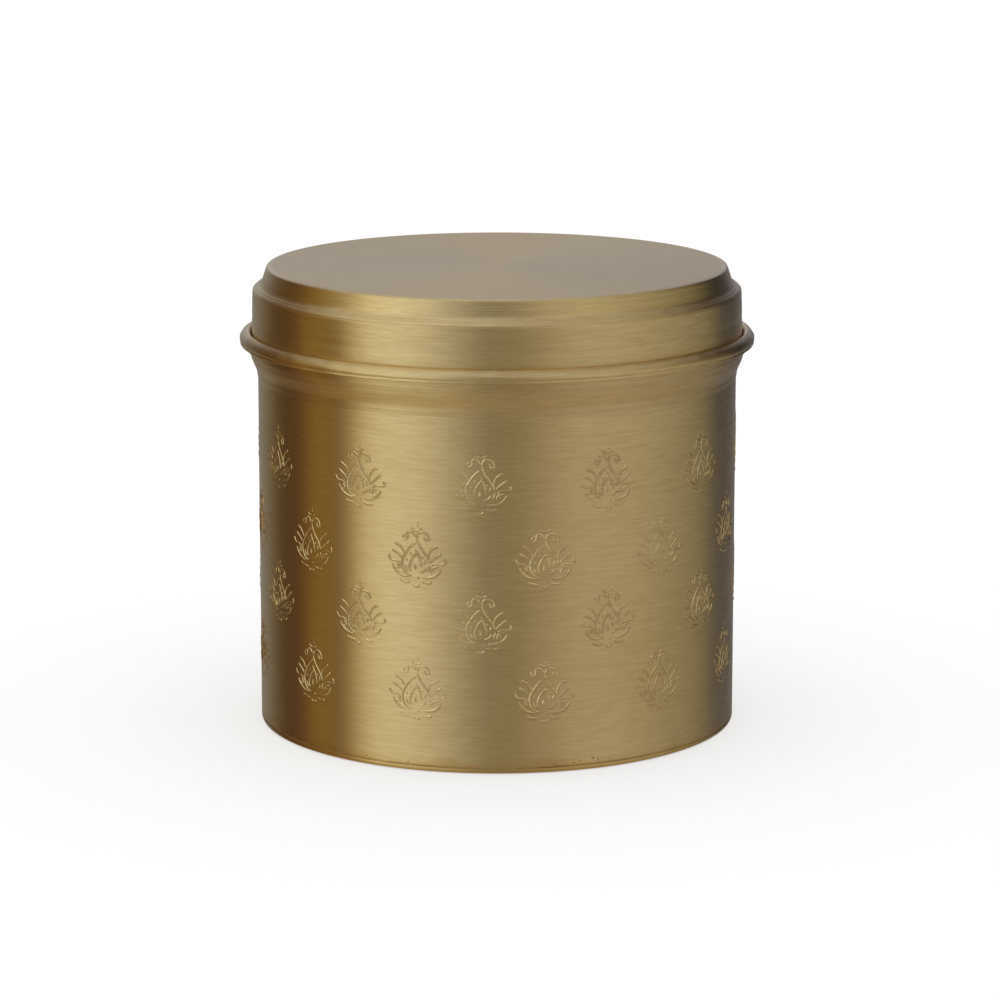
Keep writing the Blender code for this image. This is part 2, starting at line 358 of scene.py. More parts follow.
        # brown where the seam at the foot was brazed, fading upwards unevenly
        edge = maths("ADD", z, maths("MULTIPLY", maths("SUBTRACT", blotch.outputs["Fac"], 0.5), 0.012))
        burnt = remap(edge, 0.0012, 0.0050, 0.75, 0.0)
        colour = blend(burnt, colour, tuple(c * f for c, f in zip(dark, (0.92, 0.80, 0.58))))
    ln.new(colour, bsdf.inputs["Base Color"])
    ln.new(remap(mixed, mean - spread, mean + spread, rough + rough_var, rough - rough_var), bsdf.inputs["Roughness"])

    bump = node("ShaderNodeBump")
    bump.inputs["Strength"].default_value = depth
    bump.inputs["Distance"].default_value = 0.00005
    ln.new(marks, bump.inputs["Height"])
    ln.new(bump.outputs[0], bsdf.inputs["Normal"])

    tangent = node("ShaderNodeTangent", direction_type="RADIAL", axis="Z")
    ln.new(tangent.outputs[0], bsdf.inputs["Tangent"])
    bsdf.inputs["Metallic"].default_value = 1.0
    bsdf.inputs["Anisotropic"].default_value = aniso
    bsdf.inputs["Anisotropic Rotation"].default_value = 0.25
    return mat


# cells in a radian round the piece, and cell size across the lines in mm
FINE = (14.0, 0.42)
MIDDLING = (6.0, 1.0)
WIDE = (3.5, 4.0)


def dress(obj, mat, body, slot, *replaced):
    obj.data.materials.clear()
    obj.data.materials.append(mat)
    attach(obj, body)
    if replaced:
        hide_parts(*replaced)
    return obj


WALL_ROUGH = (0.32, 0.9)
LID_ROUGH = (0.32, 0.9)
TOP_ROUGH = (0.38, 0.3)
brushed = brass("brushed_brass_wall", rough=WALL_ROUGH[0], aniso=WALL_ROUGH[1], foot=True)
raised = brass("raised_line_brass", light=(0.92, 0.745, 0.41), dark=(0.70, 0.53, 0.25), rough=0.28, aniso=0.4, depth=0.2, tarnish=0.15)
# darker brass used as painted shade along the lower right of the raised lines
stroke_shade_metal = brass("painted_stroke_shade_brass", light=(0.71, 0.54, 0.262), dark=(0.60, 0.45, 0.205), rough=0.38, aniso=0.5, depth=0.2, tarnish=0.3)
lid_metal = brass("brushed_brass_lid", rough=LID_ROUGH[0], aniso=LID_ROUGH[1])
top_metal = brass("satin_brass_lid_top", light=(0.665, 0.522, 0.271), dark=(0.642, 0.502, 0.257), rough=TOP_ROUGH[0], aniso=TOP_ROUGH[1], rough_var=0.01, depth=0.07, tarnish=0.12)

# ---------------------------------------------------------------- box
flare = rounded(
    [
        (BODY_R, FLARE_Z - 8.0),
        (BODY_R, FLARE_Z),
        (BODY_R + 0.4, FLARE_Z + 2.9),
        (BODY_R + 0.95, FLARE_Z + 4.3),
        (BODY_R + 1.95, FLARE_Z + 6.6),
        (MOUTH_R - 0.25, MOUTH_Z - 1.6),
        (MOUTH_R, MOUTH_Z),
    ],
    [0, 9, 6, 6, 9, 5, 0],
    5,
)
hollow = [(0.0, -0.1), (0.0, 0.85), (0.3, 1.45), (0.75, 1.5), (1.3, 1.1), (1.75, 0.5), (1.9, -0.05), (1.8, -0.6), (1.7, -1.35)]
hollow = [tuple(p) for p in smooth_curve([(MOUTH_R + r, WIRE_Z + z) for r, z in hollow], 0.3)[0]]
# the rolled edge: a small lip where the sheet ends below, a hollow above it, then over the wire
skin = [(1.75, -1.3), (2.0, -1.42), (2.3, -1.42), (2.5, -1.3), (2.58, -1.12), (2.5, -0.92), (2.44, -0.72), (2.52, -0.45), (2.68, -0.1), (2.7, 0.25), (2.5, 0.85), (1.85, 1.68), (1.0, 2.25), (0.3, 2.5), (-0.3, 2.25), (-0.7, 1.4), (-0.8, 0.0)]
skin = [tuple(p) for p in smooth_curve([(MOUTH_R + r, WIRE_Z + z) for r, z in skin], 0.14)[0]]
inner = rounded(
    [
        (MOUTH_R - SHEET, MOUTH_Z - 0.1),
        (MOUTH_R - SHEET - 0.24, MOUTH_Z - 1.35),
        (BODY_R + 1.2, FLARE_Z + 6.95),
        (BODY_R + 0.25, FLARE_Z + 4.8),
        (BODY_R - 0.3, FLARE_Z + 3.4),
        (BODY_R - SHEET, FLARE_Z + 0.2),
        (BODY_R - SHEET, 60.0),
        (BODY_R - SHEET, BASE_TOP + GAP),
    ],
    [0, 5, 9, 6, 6, 9, 0, 0],
    4,
)
straight = resample([(BODY_R, 6.0), (BODY_R, FLARE_Z - 8.0)], 4.0)
low_part = resample([(BODY_R - 0.12, BASE_TOP + GAP), (BODY_R, BASE_TOP + GAP + 0.15), (BODY_R, 6.0)], 0.5)
wall_profile = low_part + straight[1:] + tooled(flare, 0.22, 1.6, 0.012, 5)[1:] + hollow[1:] + skin[1:] + inner[1:]

slow = round_waves(11, 7, 3, 14)
medium = round_waves(12, 9, 14, 60)
quick = round_waves(13, 11, 50, 120)
rows_a, rows_b = round_waves(14, 6, 2, 9), round_waves(15, 8, 6, 30)
PITS = [(17.6, 3.0, 0.7), (18.9, 3.4, 0.9), (21.2, 3.9, 0.8), (22.4, 3.2, 1.0), (23.4, 3.6, 0.7), (25.6, 2.9, 0.6), (12.2, 2.7, 0.6), (-9.0, 2.6, 0.5), (-27.0, 2.8, 0.6), (34.0, 2.8, 0.8)]


def wall_uneven(r, z, t):
    """Slight flats in the rolled sheet, more unevenness in the bead and its lip, and pits beside the brazed seam. On the outside only."""
    outside = (r > BODY_R - 0.3) | (z > MOUTH_Z)
    plain = 0.022 * (slow(t) * np.sin(z * 0.05 + 1.0) + rows_a(t) * np.cos(z * 0.09)) + 0.012 * rows_b(t) * np.sin(z * 0.21)
    bead = np.clip((z - (WIRE_Z - 1.6)) / 0.8, 0, 1)
    lip = np.exp(-(((z - (WIRE_Z - 1.1)) / 0.45) ** 2)) * (r > MOUTH_R + 1.0)
    dr = outside * (plain + bead * 0.035 * medium(t) + lip * (0.045 * quick(t) + 0.05 * medium(t + 1.0)))
    dz = outside * (bead * 0.05 * medium(t + 2.0) + lip * 0.05 * quick(t + 0.7))
    for az, pz, size in PITS:
        a = math.radians(az) - math.pi / 2
        d2 = ((np.angle(np.exp(1j * (t - a)))) * BODY_R / (size * 0.9)) ** 2 + ((z - pz) / (size * 0.55)) ** 2
        dr = dr - outside * 0.13 * np.exp(-d2)
    return dr, dz


wall = dress(lathe("wall", wall_profile, 384, uneven=wall_uneven), brushed, "box", "brushed_brass", "body_wall")

base_pts = [
    (0.0, 0.0),
    (74.0, 0.0),
    (74.8, 0.35),
    (BODY_R, 1.0),
    (BODY_R, BASE_TOP),
    (BODY_R - SHEET - GAP, BASE_TOP),
    (BODY_R - SHEET - GAP, BASE_TOP + 2.0),
    (BODY_R - SHEET - GAP - 0.9, BASE_TOP + 2.0),
    (BODY_R - SHEET - GAP - 0.9, BASE_TOP),
    (0.0, BASE_TOP),
]
base = lathe("base", rounded(base_pts, [0, 0.8, 0.5, 0.6, 0.12, 0.1, 0.1, 0.1, 0.1, 0], 4), 384)
dress(base, brushed, "box", "brushed_brass", "base_disc")

# braze in the seam between the wall and the base, just below both surfaces
seam = [(BODY_R - 0.5, BASE_TOP - 0.05), (BODY_R - 0.1, BASE_TOP - 0.05), (BODY_R - 0.06, BASE_TOP + GAP / 2), (BODY_R - 0.1, BASE_TOP + GAP + 0.05), (BODY_R - 0.5, BASE_TOP + GAP + 0.05)]
braze_metal = brass("braze", light=(0.62, 0.44, 0.18), dark=(0.34, 0.22, 0.08), rough=0.5, aniso=0.0, depth=0.6, lines=(0.1, 0.2, 0.3, 0.4))
braze = lathe("brazed_seam", rounded(seam, [0, 0.02, 0.05, 0.02, 0], 2), 256, uneven=lambda r, z, t: ((r > BODY_R - 0.3) * 0.05 * quick(t), 0 * r * t))
dress(braze, braze_metal, "box", "brushed_brass")


def specks():
    """Small beads of braze left on the wall beside the seam."""
    rng = random.Random(7)
    bodies = []
    for az, z, size in [(22.9, 3.55, 0.42), (24.1, 3.0, 0.3), (19.6, 3.2, 0.28), (18.1, 2.7, 0.3), (13.6, 2.5, 0.25), (27.3, 2.8, 0.26), (30.2, 2.5, 0.3), (-4.0, 2.4, 0.22), (-21.0, 2.6, 0.28), (-32.0, 2.9, 0.25), (47.0, 2.6, 0.3), (71.0, 2.7, 0.3), (130.0, 2.6, 0.3), (-100.0, 2.8, 0.28)]:
        a = math.radians(az)
        rings = []
        for k, (rad, up) in enumerate(((0.75, -0.25), (1.0, -0.02), (0.88, 0.12), (0.6, 0.22), (0.25, 0.27))):
            ring = []
            for j in range(12):
                t = 6.283 * j / 12
                s = size * rad * (1 + 0.16 * math.sin(2 * t + az) + 0.08 * math.sin(3 * t + z))
                x, y = s * 1.35 * math.cos(t), s * math.sin(t) * 0.8
                rr = BODY_R + (up * size if up > 0 else up)
                aa = a + x / BODY_R
                ring.append((rr * math.sin(aa), -rr * math.cos(aa), z + y))
            rings.append(ring)
        bodies.append(rings)
    return closed_rings("braze_specks", bodies, sharp=70)


dress(specks(), braze_metal, "box", "brushed_brass")
dress(nodes["rim_wire"], brass("iron_wire", light=(0.40, 0.39, 0.38), dark=(0.26, 0.25, 0.245), rough=0.45, aniso=0.0, tarnish=0.5), "box", "iron_wire")

# ---------------------------------------------------------------- decoration on the wall
# One motif, in mm from its middle: (points, widest half width, how the width runs along the
# stroke, relative height). "both" tapers at both ends, "tip" swells towards the last point,
# "drop" is a seed with its fat end last, "even" keeps its width to rounded ends.
STROKES = [
    # finial: a seed over a crescent
    ([(0.3, 9.35), (0.3, 9.0)], 0.20, "even", 0.6),
    ([(0.3, 8.75), (0.28, 8.4), (0.26, 8.0)], 0.30, "drop", 0.9),
    ([(-1.9, 7.75), (-1.25, 7.2), (-0.1, 6.9), (0.95, 7.15), (1.45, 7.75)], 0.33, "even", 1.0),
    # curls that spring from the neck, each ending in a small leaf
    ([(0.05, 4.3), (0.2, 5.2), (0.6, 6.0), (1.35, 6.4), (2.45, 6.2), (3.3, 5.75), (3.75, 4.85), (3.85, 3.7)], 0.34, "even", 1.0),
    ([(2.35, 5.35), (2.5, 4.6), (2.85, 4.0), (3.3, 3.6)], 0.42, "tip", 1.0),
    ([(-0.4, 4.85), (-0.8, 5.65), (-1.55, 6.25), (-2.4, 6.3), (-2.9, 5.75), (-2.85, 5.0), (-3.1, 4.3), (-3.65, 3.9), (-4.15, 4.25)], 0.36, "even", 1.0),
    ([(-3.6, 5.6), (-4.15, 4.95), (-4.3, 4.2)], 0.32, "both", 0.8),
    # ogee of the bud
    ([(0.05, 4.3), (0.25, 3.5), (1.2, 1.65), (2.3, 0.3), (3.25, -0.95), (3.85, -2.0), (4.1, -3.1)], 0.38, "even", 1.05),
    ([(4.15, -3.6), (4.05, -4.6), (3.5, -5.7)], 0.34, "both", 0.6),
    ([(-0.3, 2.95), (-1.2, 2.4), (-2.35, 1.25), (-3.45, -0.35), (-4.2, -1.75), (-4.55, -2.95), (-4.5, -4.2), (-4.05, -5.5), (-3.2, -6.55), (-2.1, -7.1), (-1.4, -7.05)], 0.38, "even", 1.0),
    # flame inside it, with small petals
    ([(0.4, 0.05), (-0.5, -0.75), (-1.25, -1.8), (-1.85, -3.15), (-2.1, -4.4), (-1.95, -5.35), (-1.45, -5.85)], 0.34, "even", 1.0),
    ([(-0.5, 1.3), (0.1, 0.25), (0.7, -0.85), (1.15, -2.1), (1.5, -3.4), (1.6, -4.4)], 0.34, "both", 0.95),
    ([(0.85, -6.0), (2.0, -5.7), (2.7, -5.1), (3.1, -4.35)], 0.42, "tip", 1.0),
    ([(2.75, -1.8), (2.85, -2.6), (2.4, -3.5)], 0.38, "both", 0.95),
    ([(1.7, -1.0), (1.9, -1.9)], 0.30, "both", 0.8),
    ([(-2.9, -1.9), (-3.15, -2.8)], 0.30, "both", 0.8),
    ([(-3.35, -4.1), (-3.0, -5.2), (-2.3, -6.0)], 0.32, "both", 0.85),
    ([(-1.6, -0.1), (-2.1, -0.8)], 0.26, "both", 0.6),
    ([(-0.4, -3.2), (-0.33, -4.2), (-0.28, -5.15)], 0.52, "drop", 1.15),
    # leaves that fan from the bud
    ([(3.75, -1.35), (3.85, -0.35), (4.5, 0.9), (5.6, 1.85), (6.75, 2.4)], 0.43, "tip", 1.05),
    ([(4.6, -2.9), (4.75, -2.3), (5.7, -1.4), (6.9, -0.4), (7.8, 0.35)], 0.43, "tip", 1.05),
    ([(5.0, -3.95), (5.5, -3.2), (6.4, -2.95), (7.35, -3.05), (8.35, -2.95), (8.95, -2.55), (8.95, -2.0), (8.55, -1.45)], 0.42, "tip", 0.95),
    ([(-3.9, -0.35), (-4.4, 0.65), (-5.2, 1.65), (-6.3, 2.25), (-7.15, 2.7)], 0.43, "tip", 1.05),
    ([(-4.75, -2.05), (-5.3, -1.25), (-6.2, -0.6), (-7.15, 0.0), (-7.85, 0.55)], 0.43, "tip", 1.05),
    ([(-5.15, -4.15), (-5.6, -3.4), (-6.5, -2.95), (-7.8, -2.9), (-8.6, -2.3), (-8.95, -1.55), (-9.2, -1.75)], 0.42, "tip", 1.0),
    # lowest petals: an outer and an inner line each
    ([(7.75, -4.35), (7.2, -5.5), (6.2, -6.55), (4.7, -7.2), (3.2, -7.45), (1.9, -7.4)], 0.44, "both", 1.1),
    ([(4.7, -5.95), (4.85, -5.0), (5.5, -4.3), (6.3, -4.0), (7.25, -3.9)], 0.36, "both", 0.95),
    ([(5.6, -5.3), (6.1, -4.9)], 0.32, "both", 0.7),
    ([(-7.75, -3.95), (-7.35, -4.8), (-6.45, -5.95), (-5.2, -6.85), (-3.7, -7.35), (-2.4, -7.35)], 0.44, "both", 1.1),
    ([(-6.4, -3.9), (-5.65, -4.4), (-5.2, -5.5)], 0.38, "both", 0.95),
    ([(-6.35, -5.0), (-6.0, -5.5)], 0.30, "both", 0.7),
    # lowest strokes, which meet in a point
    ([(1.6, -8.65), (2.7, -8.95), (3.9, -9.1), (5.0, -8.6)], 0.46, "tip", 1.05),
    ([(-5.25, -8.2), (-4.7, -8.75), (-3.2, -9.1), (-1.7, -9.2)], 0.44, "both", 1.0),
    ([(-1.2, -9.6), (-0.5, -10.1), (0.3, -10.2), (1.15, -9.5)], 0.46, "tip", 1.1),
    ([(0.45, -7.35), (0.9, -8.0)], 0.32, "both", 0.9),
]


def stroke_width(kind, u, length, half):
    """Width factor at u, 0 to 1 along the stroke."""
    end = min(0.45, half * 1.1 / max(length, 1e-6))
    cap = min(1.0, u / end, (1 - u) / end)
    cap = math.sqrt(max(0.0, 1 - (1 - cap) ** 2))
    if kind == "both":
        return cap * (0.5 + 0.5 * math.sin(math.pi * u))
    if kind == "tip":
        return cap * (0.62 + 0.38 * u * u)
    if kind == "drop":
        return cap * (0.25 + 0.75 * u**0.8)
    return cap * (0.88 + 0.12 * math.sin(math.pi * u))


RIDGE = [-1.0, -0.78, -0.55, -0.3, -0.1, 0.1, 0.3, 0.55, 0.78, 1.0]
RIDGE_H = 0.18  # how far the lines stand out of the wall, mm
RIDGE_ROOT = 0.30  # how far they reach into the sheet


def motif_row(name, z0, az0, seed, broad=1.0, rise=1.0, shift=(0.0, 0.0)):
    """Twelve motifs round the wall as raised strokes, each stroke a closed ridge rooted in the sheet. broad, rise and
    shift turn the same strokes into low, wide, darker strips set a little to the lower right of each stroke: painted
    shade where the ridges' shaded side falls.
    """
    rng = random.Random(seed)
    bodies = []
    for k in range(12):
        az = math.radians(az0 + 30 * k) + rng.uniform(-0.2, 0.2) / BODY_R
        zc = z0 + rng.uniform(-0.25, 0.25)
        turn = math.radians(rng.uniform(-1.6, 1.6))
        ct, st = math.cos(turn), math.sin(turn)
        press = rng.uniform(0.8, 1.08)
        for points, half, kind, height in STROKES:
            line, length = smooth_curve(points, 0.32)
            high = RIDGE_H * height * press * rng.uniform(0.8, 1.1) * rise
            wide = half * 0.92 * rng.uniform(0.92, 1.08) * broad
            rings = []
            for i, p in enumerate(line):
                u = i / (len(line) - 1)
                w = max(0.03, wide * stroke_width(kind, u, length, wide))
                h = high * min(1.0, w / (wide * 0.7))
                if i in (0, len(line) - 1):
                    h = 0.0
                a, b = line[max(0, i - 1)], line[min(len(line) - 1, i + 1)]
                d = (b - a).normalized()
                n = Vector((-d.y, d.x))
                ring = []
                for t in RIDGE:
                    q = p + n * (w * t)
                    ring.append((q.x + shift[0], q.y + shift[1], h * (1 - t * t) ** (1.3 if rise == 1.0 else 0.3) - 0.012))
                for t in (1.0, -1.0):
                    q = p + n * (w * t * 0.8)
                    ring.append((q.x + shift[0], q.y + shift[1], -RIDGE_ROOT))
                out = []
                for x, y, up in ring:
                    x, y = x * ct - y * st, x * st + y * ct
                    ang, rad = az + x / BODY_R, BODY_R + up
                    out.append((rad * math.sin(ang), -rad * math.cos(ang), zc + y))
                rings.append(out)
            bodies.append(rings)
    return closed_rings(name, bodies, sharp=62)


for i, (z0, az0) in enumerate(((90.3, -3.6), (67.8, 11.2), (48.1, -3.6), (26.2, 11.2))):
    dress(motif_row(f"motif_row_{i + 1}", z0, az0, 40 + i), raised, "box", "brushed_brass")
    # the second piece of each row is painted shade: darker strips under the strokes, shifted to their lower right where
    # the ridges' shaded side falls
    dress(motif_row(f"motif_painted_shade_{i + 1}", z0, az0, 40 + i, 1.62, 0.16, (0.13, -0.10)), stroke_shade_metal, "box", "brushed_brass")

# ---------------------------------------------------------------- lid
DISC_R = 70.2  # the flat of the lid's top, a piece of its own here because it is finished differently
skirt = tooled([(LID_R, 119.6), (LID_R, 126.0), (LID_R - 0.27, 136.4)], 0.4, 3.4, 0.018, 21)
ledge = rounded(
    [
        (LID_R - 0.27, 136.4),
        (LID_R - 0.30, 136.62),
        (LID_R - 0.44, 136.85),
        (LID_R - 0.36, 137.05),
        (LID_R - 0.55, 137.3),
        (LID_R - 0.95, 137.68),
        (LID_R - 1.35, 137.95),
        (LID_R - 1.55, 138.0),
        (LID_R - 1.62, 138.12),
        (LID_R - 1.85, 138.3),
        (LID_R - 2.5, 138.7),
        (LID_R - 3.08, 139.35),
        (LID_R - 3.38, 140.1),
    ],
    [0, 0.1, 0.08, 0.08, 0.5, 0.6, 0.3, 0.06, 0.1, 0.8, 1.2, 1.2, 0],
    4,
)
cone = tooled([(LID_R - 3.38, 140.1), (LID_R - 4.42, 143.3)], 0.11, 1.0, 0.014, 22)
crown = rounded([(LID_R - 4.42, 143.3), (LID_R - 4.75, 144.3), (LID_R - 6.3, TOP_Z), (DISC_R, TOP_Z)], [0, 1.1, 0, 0], 9)
lid_in = rounded(
    [
        (DISC_R, TOP_Z - 0.8),
        (LID_R - 6.4, TOP_Z - 0.8),
        (LID_R - 5.3, 143.0),
        (LID_R - 4.1, 139.4),
        (LID_R - 3.2, 138.2),
        (LID_R - 1.75, 137.2),
        (LID_R - 1.2, 136.3),
        (LID_R - 1.08, 135.6),
        (LID_R - 0.8, 126.0),
        (LID_R - 0.8, LID_SKIRT_Z),
    ],
    [0, 1.0, 1.2, 1.2, 1.2, 1.0, 0.8, 0.8, 0, 0],
    4,
)
lid_profile = lid_in + [(LID_R - 0.45, LID_SKIRT_Z), (LID_R - 0.12, LID_SKIRT_Z + 0.2)] + skirt + ledge[1:] + cone[1:] + crown[1:]
lid_slow, lid_mid = round_waves(31, 7, 3, 12), round_waves(32, 9, 14, 70)


def lid_uneven(r, z, t):
    side = np.clip((TOP_Z - z) / 3.0, 0, 1)
    dr = 0.02 * side * (lid_slow(t) * np.sin(z * 0.35) + lid_slow(t + 2.2) * np.cos(z * 0.22))
    fold = np.exp(-(((z - 137.9) / 1.1) ** 2)) * (r > LID_R - 3.0)
    return dr + 0.02 * fold * lid_mid(t), 0.035 * fold * lid_mid(t + 1.3)


dress(lathe("lid_shell", lid_profile, 384, sharp=50, uneven=lid_uneven), lid_metal, "lid", "brushed_brass", "lid")

top_face = resample([(DISC_R - 0.01, TOP_Z), (2.0, TOP_Z)], 1.6)
top_slow = round_waves(33, 6, 2, 7)
lid_top = lathe(
    "lid_top",
    [(0.0, TOP_Z - 0.8), (DISC_R - 0.01, TOP_Z - 0.8)] + top_face + [(0.0, TOP_Z)],
    256,
    sharp=50,
    uneven=lambda r, z, t: (0 * r * t, -0.03 * (z > TOP_Z - 0.1) * (1 + top_slow(t) * np.sin(r * 0.09)) * np.clip((DISC_R - 1 - r) / 14, 0, 1)),
)
dress(lid_top, top_metal, "lid", "brushed_brass")

# ---------------------------------------------------------------- contents
def spun_brass(name, x=0.0, y=0.0, **extra):
    values = dict(light=(0.84, 0.665, 0.345), dark=(0.755, 0.58, 0.285), rough=0.26, aniso=0.7, depth=0.2, tarnish=0.25)
    values.update(extra)
    return brass(name, centre=(x * MM, y * MM, 0.0), **values)


def katori_profile():
    h, r = KATORI_H, KATORI_R
    outside = rounded([(0.0, 0.0), (r - 5.0, 0.0), (r - 3.0, 2.3), (r - 1.2, h - 2.2)], [0, 3.0, 3.0, 0], 6)
    rim = rounded([(r - 1.2, h - 2.2), (r, h - 1.5), (r, h - 0.2), (r - 1.9, h), (r - 2.15, h - 2.4)], [0, 0.6, 0.7, 0.35, 0], 5)
    inside = rounded([(r - 2.15, h - 2.4), (r - 3.8, 2.7), (r - 5.5, 0.9), (0.0, 0.9)], [0, 3.0, 2.4, 0], 6)
    side = tooled([outside[-2], outside[-1]], 1.2, 3.0, 0.02, 51)
    return outside[:-2] + side + rim[1:] + inside[1:]


katori_line = katori_profile()
for i in range(7):
    a = math.radians(30 + 60 * (i - 1))
    ring_r = KATORI_RING if i else 0.0
    kx, ky = ring_r * math.cos(a), ring_r * math.sin(a)
    tag = str(i) if i else "centre"
    metal = spun_brass(f"katori_brass_{tag}", kx, ky)
    for tier, z in (("lower", LOWER_Z), ("upper", UPPER_Z)):
        wave = round_waves(60 + i + (10 if z > 30 else 0), 5, 2, 7)
        cup = lathe(f"{tier}_cup_{tag}", katori_line, 80, at=(kx, ky, z), uneven=lambda r, z, t, w=wave: (0.05 * w(t) * np.clip(z / 50, 0, 1) * (r > 5), 0 * r * t))
        node_name = f"{tier}_katori_{tag}"
        dress(cup, metal, node_name, "plain_brass", node_name)

plain = spun_brass("plain_brass")
z, r = TRAY_Z, TRAY_R
tray_pts = [
    (0.0, z),
    (r - 1.7, z),
    (r - 0.2, z + 1.3),
    (r, z + TRAY_WALL_H - 1.2),
    (r + 0.4, z + TRAY_WALL_H - 0.5),
    (r - 0.5, z + TRAY_WALL_H),
    (r - 1.0, z + TRAY_WALL_H - 1.0),
    (r - 1.1, z + 2.2),
    (r - 2.2, z + TRAY_SHEET),
    (0.0, z + TRAY_SHEET),
]
tray_line = resample(rounded(tray_pts, [0, 1.4, 1.4, 0.6, 0.5, 0.4, 0.5, 1.0, 1.0, 0], 5), 3.0)
dress(lathe("tray_shell", tray_line, 256, uneven=lambda r, z, t: (0.03 * rows_b(t) * (r > 60), 0 * r * t)), plain, "tray", "plain_brass", "tray")


def tube(name, points, radius, sides=16):
    """A wire of round section along points in mm that lie in one plane of constant x."""
    rings = []
    n = len(points)
    for i, p in enumerate(points):
        a, b = points[max(0, i - 1)], points[min(n - 1, i + 1)]
        d = (Vector(b) - Vector(a)).normalized()
        side = Vector((1.0, 0.0, 0.0))
        up = d.cross(side)
        rings.append([tuple(Vector(p) + radius * (math.cos(t) * side + math.sin(t) * up)) for t in [6.28318530718 * j / sides for j in range(sides)]])
    return closed_rings(name, [rings], sharp=50)


def loop_path(x):
    foot, corner, bar, w = TRAY_Z + TRAY_SHEET + GAP, 6.0, LOOP_TOP_Z - LOOP_WIRE_R, LOOP_HALF_W
    flat = [(-w, foot), (-w, bar), (w, bar), (w, foot)]
    return [(x, y, z) for y, z in resample(rounded(flat, [0, corner, corner, 0], 14), 3.0)]


for side, x in (("right", LOOP_X), ("left", -LOOP_X)):
    dress(tube(f"loop_{side}", loop_path(x), LOOP_WIRE_R), plain, "tray", "plain_brass", f"tray_loop_{side}")

z, t = COVER_Z, COVER_SHEET
cover_top = tooled([(COVER_R - 0.3, z + t), (2.3, z + t)], 1.2, 6.0, 0.015, 71)
cover_line = [(2.3, z)] + rounded([(COVER_R - 0.6, z), (COVER_R, z + 0.3), (COVER_R, z + t - 0.2), (COVER_R - 0.3, z + t)], [0, 0.2, 0.2, 0], 3) + cover_top[1:]
dress(lathe("cover_plate", cover_line, 256, sharp=50), plain, "inner_cover", "plain_brass", "inner_cover")

low, high = COVER_Z - GAP, COVER_Z + COVER_SHEET + GAP
knob_line = rounded([(0.0, low - 0.8), (2.4, low - 0.7), (3.3, low - 0.2), (3.3, low), (2.0, low), (2.0, high), (5.6, high), (5.4, high + 1.2), (3.1, high + 2.6), (3.0, high + 5.0), (5.6, high + 6.8), (6.6, high + 9.0), (5.4, high + 11.0), (2.6, high + 11.9), (0.0, high + 12.0)], [0, 0.3, 0.2, 0, 0, 0, 0.3, 0.8, 1.6, 1.6, 1.5, 2.2, 2.2, 1.5, 0], 7)
dress(lathe("knob", knob_line, 96, sharp=45), spun_brass("polished_knob_brass", rough=0.2), "inner_cover", "plain_brass", "cover_knob")


def ease(t):
    t = min(1.0, max(0.0, t))
    return t * t * (3 - 2 * t)


def spoon_half_width(x):
    u = (x - SPOON_BOWL_X) / SPOON_BOWL_A
    bowl = SPOON_BOWL_W * math.sqrt(max(0.0, 1 - u * u))
    t = (x - (SPOON_BOWL_X + SPOON_BOWL_A)) / (SPOON_END_X - (SPOON_BOWL_X + SPOON_BOWL_A))
    handle = 2.3 + 2.0 * ease(t) if x > SPOON_BOWL_X else 0.0
    past = (x - (SPOON_END_X - 4.0)) / 4.0
    if past > 0:
        handle *= math.sqrt(max(0.06, 1 - past * past))
    return max(bowl, handle, 1.6)


def spoon():
    """Rings across the spoon from tip to end: the upper face and the lower one, with rounded edges."""
    floor = COVER_Z + COVER_SHEET + GAP + SPOON_SHEET / 2
    rim = floor + SPOON_BOWL_DEPTH
    neck = SPOON_BOWL_X + SPOON_BOWL_A
    across, along, h = 12, 110, SPOON_SHEET / 2
    rings = []
    for i in range(along + 1):
        u = i / along
        x = SPOON_TIP_X + 0.05 + (SPOON_END_X - SPOON_TIP_X - 0.1) * u
        w = spoon_half_width(x) - 0.25
        b = (x - SPOON_BOWL_X) / SPOON_BOWL_A
        tt = max(0.0, (x - neck) / (SPOON_END_X - neck))
        arch = 2.4 * math.sin(math.pi * min(1.0, tt * 1.15)) if tt > 0 else 0.0
        line = rim + arch - (rim - floor) * ease(tt)
        ring = []
        for sign in (1, -1):
            for k in range(across + 1):
                s = (-1 + 2 * k / across) * sign
                depth = SPOON_BOWL_DEPTH * max(0.0, 1 - b * b) * (1 - s * s)
                edge = math.sqrt(max(0.06, 1 - abs(s) ** 8))
                ring.append((x, SPOON_Y + s * w, line - depth + sign * h * edge))
        rings.append(ring)
    return closed_rings("serving_spoon", [rings], sharp=60)


dress(spoon(), spun_brass("spoon_brass", aniso=0.3, rough=0.24, lines=(0.0, 0.1, 0.3, 0.6)), "spoon", "plain_brass", "spoon")

# ---------------------------------------------------------------- studio
def stage_floor():
    mesh = bpy.data.meshes.new("floor")
    bm = bmesh.new()
    bmesh.ops.create_grid(bm, x_segments=8, y_segments=8, size=4.0)
    bm.to_mesh(mesh)
    bm.free()
    floor = link(bpy.data.objects.new("floor", mesh))
    floor.location = (0, 0, -0.0001)
    mat = bpy.data.materials.new("floor_paper")
    mat.use_nodes = True
    b = mat.node_tree.nodes["Principled BSDF"]
    b.inputs["Base Color"].default_value = (0.5, 0.5, 0.5, 1)
    b.inputs["Emission Color"].default_value = (1, 1, 1, 1)
    b.inputs["Emission Strength"].default_value = 0.5
    b.inputs["Roughness"].default_value = 0.9
    b.inputs["Specular IOR Level"].default_value = 0.0
    mesh.materials.append(mat)
    floor.visible_glossy = False
    return floor


stage_floor()


